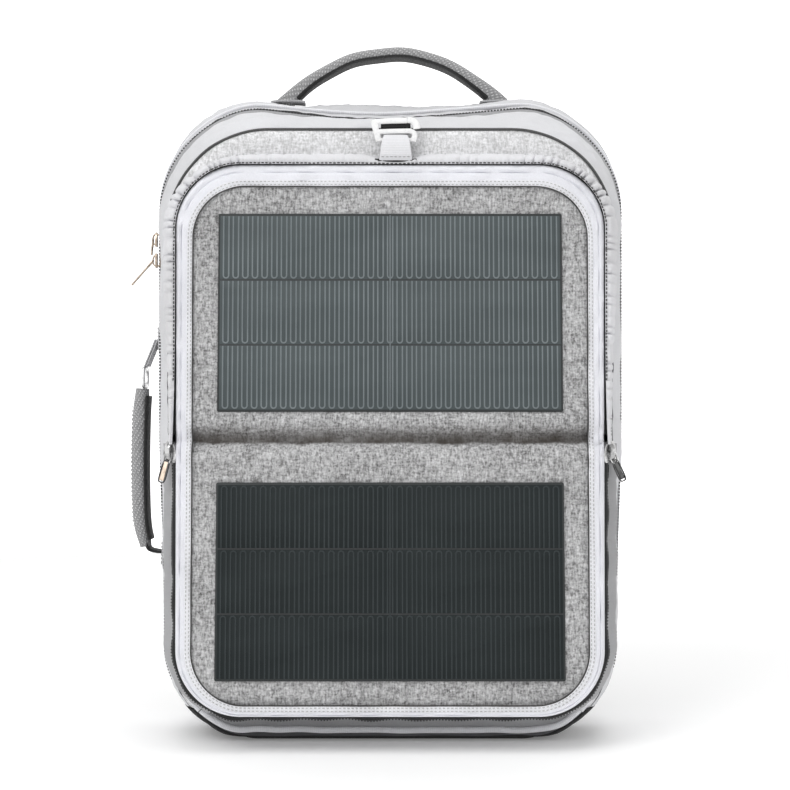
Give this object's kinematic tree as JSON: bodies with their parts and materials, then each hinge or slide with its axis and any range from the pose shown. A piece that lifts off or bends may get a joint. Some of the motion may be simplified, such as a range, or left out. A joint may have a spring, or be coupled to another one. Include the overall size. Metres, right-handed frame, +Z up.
{
  "type": "solar backpack",
  "caption": "Soft-sided backpack with two stacked solar laminates on a drop-down front pocket, clamshell body, grab handles and shoulder straps.",
  "frame": {"origin": "on the flat underside of the base, below the middle of the bag", "axes": "+Z up, +X to the right of someone facing the front, the solar face looks towards -Y"},
  "size_m": [0.3727, 0.1892, 0.5197],
  "materials": {
    "melange_cloth": "woven two-tone grey melange",
    "pale_cloth": "light grey woven cloth",
    "white_tape": "white bound tape with a stitched line",
    "grey_cloth": "mid grey ribbed weave",
    "black_webbing": "black webbing and zip tape",
    "lining_cloth": "dark lining",
    "back_mesh": "dark spacer mesh over foam",
    "solar_laminate": "dark green-grey laminate, satin",
    "black_plastic": "moulded, fine grain",
    "steel_hardware": "bright plated metal",
    "aged_brass": "dull brass",
    "lead_rubber": "matt black lead"
  },
  "bodies": {
    "bag": {"rear_shell": "grey_cloth", "rear_zip_tape": "black_webbing", "base_tray": "black_webbing", "base_panel": "black_plastic", "base_board": "black_plastic", "base_piping": "pale_cloth", "back_panel": "back_mesh", "back_pad_left": "back_mesh", "back_pad_right": "back_mesh", "strap_yoke": "grey_cloth", "trolley_band": "black_webbing", "frame_sheet": "black_plastic", "laptop_divider": "lining_cloth", "handle_anchor_left": "black_webbing", "handle_anchor_right": "black_webbing", "side_handle_tab_upper": "black_webbing", "side_handle_tab_lower": "black_webbing", "strap_anchor_left": "black_webbing", "strap_anchor_right": "black_webbing"},
    "front_shell": {"front_gusset": "pale_cloth", "front_zip_tape": "black_webbing", "mid_panel": "melange_cloth", "mid_piping": "black_webbing", "hook_keeper": "black_webbing", "hook_tab": "pale_cloth", "pocket_ruffle": "pale_cloth", "pocket_gusset": "pale_cloth", "pocket_zip": "black_webbing", "lower_face_panel": "melange_cloth", "lower_edging": "white_tape", "lower_solar_panel": "solar_laminate", "lower_junction_box": "black_plastic", "organiser_panel": "lining_cloth", "charge_controller": "black_plastic", "usb_socket": "steel_hardware", "controller_lead": "lead_rubber"},
    "flap": {"upper_face_panel": "melange_cloth", "upper_edging": "white_tape", "upper_solar_panel": "solar_laminate", "upper_junction_box": "black_plastic", "upper_lead": "lead_rubber"},
    "hook": {"g_hook": "steel_hardware"},
    "top_grab_handle": {"top_handle": "grey_cloth"},
    "side_carry_handle": {"side_handle_webbing": "black_webbing", "side_handle_ring": "steel_hardware", "side_handle_grip": "grey_cloth"},
    "pocket_slider_l": {"pocket_slider_left": "steel_hardware"},
    "pocket_pull_l": {"pocket_pull_left": "steel_hardware"},
    "pocket_slider_r": {"pocket_slider_right": "steel_hardware"},
    "pocket_pull_r": {"pocket_pull_right": "steel_hardware"},
    "main_slider_u": {"main_slider_upper": "aged_brass"},
    "main_pull_u": {"main_pull_upper": "steel_hardware"},
    "main_slider_l": {"main_slider_lower": "aged_brass"},
    "main_pull_l": {"main_pull_lower": "steel_hardware"},
    "strap_left": {"shoulder_strap_left": "grey_cloth", "strap_adjuster_left": "black_plastic", "strap_webbing_left": "black_webbing"},
    "strap_right": {"shoulder_strap_right": "grey_cloth", "strap_adjuster_right": "black_plastic", "strap_webbing_right": "black_webbing"}
  },
  "joints": [
    {"name": "front_shell_hinge", "type": "hinge", "parent": "bag", "child": "front_shell", "pos_m": [0, -0.042, 0.026], "axis": [1, 0, 0], "range_deg": [0, 32]},
    {"name": "flap_hinge", "type": "hinge", "parent": "front_shell", "child": "flap", "pos_m": [0, -0.0658, 0.219], "axis": [1, 0, 0], "range_deg": [0, 150]},
    {"name": "hook_hinge", "type": "hinge", "parent": "front_shell", "child": "hook", "pos_m": [0.004, -0.044, 0.4355], "axis": [1, 0, 0], "range_deg": [0, 120]},
    {"name": "top_handle_hinge", "type": "hinge", "parent": "bag", "child": "top_grab_handle", "pos_m": [0, 0.045, 0.4845], "axis": [1, 0, 0], "range_deg": [-70, 70]},
    {"name": "side_handle_hinge", "type": "hinge", "parent": "bag", "child": "side_carry_handle", "pos_m": [-0.179, 0.0362, 0.213], "axis": [0, 0, 1], "range_deg": [-38, 11]},
    {"name": "pocket_slider_left_slide", "type": "slide", "parent": "front_shell", "child": "pocket_slider_l", "axis": [-0.01, 0.1018, 0.9948], "range_m": [-0.13, 0]},
    {"name": "pocket_pull_left_swing", "type": "hinge", "parent": "pocket_slider_l", "child": "pocket_pull_l", "pos_m": [-0.16459, -0.05777, 0.2115], "axis": [0, 1, 0], "range_deg": [0, 100]},
    {"name": "pocket_slider_right_slide", "type": "slide", "parent": "front_shell", "child": "pocket_slider_r", "axis": [0.01, 0.1018, 0.9948], "range_m": [-0.13, 0]},
    {"name": "pocket_pull_right_swing", "type": "hinge", "parent": "pocket_slider_r", "child": "pocket_pull_r", "pos_m": [0.16459, -0.05777, 0.2115], "axis": [0, -1, 0], "range_deg": [0, 100]},
    {"name": "main_slider_upper_slide", "type": "slide", "parent": "bag", "child": "main_slider_u", "axis": [0, 0, 1], "range_m": [0, 0.018]},
    {"name": "main_pull_upper_swing", "type": "hinge", "parent": "main_slider_u", "child": "main_pull_u", "pos_m": [-0.1815, 0.015, 0.3685], "axis": [0, 1, 0], "range_deg": [0, 100]},
    {"name": "main_slider_lower_slide", "type": "slide", "parent": "bag", "child": "main_slider_l", "axis": [0, 0, 1], "range_m": [-0.27, 0]},
    {"name": "main_pull_lower_swing", "type": "hinge", "parent": "main_slider_l", "child": "main_pull_l", "pos_m": [-0.1815, 0.015, 0.3525], "axis": [0, 1, 0], "range_deg": [-38, 60]},
    {"name": "strap_left_swing", "type": "hinge", "parent": "bag", "child": "strap_left", "pos_m": [-0.055, 0.08, 0.434], "axis": [1, 0, 0], "range_deg": [0, 100]},
    {"name": "strap_right_swing", "type": "hinge", "parent": "bag", "child": "strap_right", "pos_m": [0.055, 0.08, 0.434], "axis": [1, 0, 0], "range_deg": [0, 100]}
  ]
}
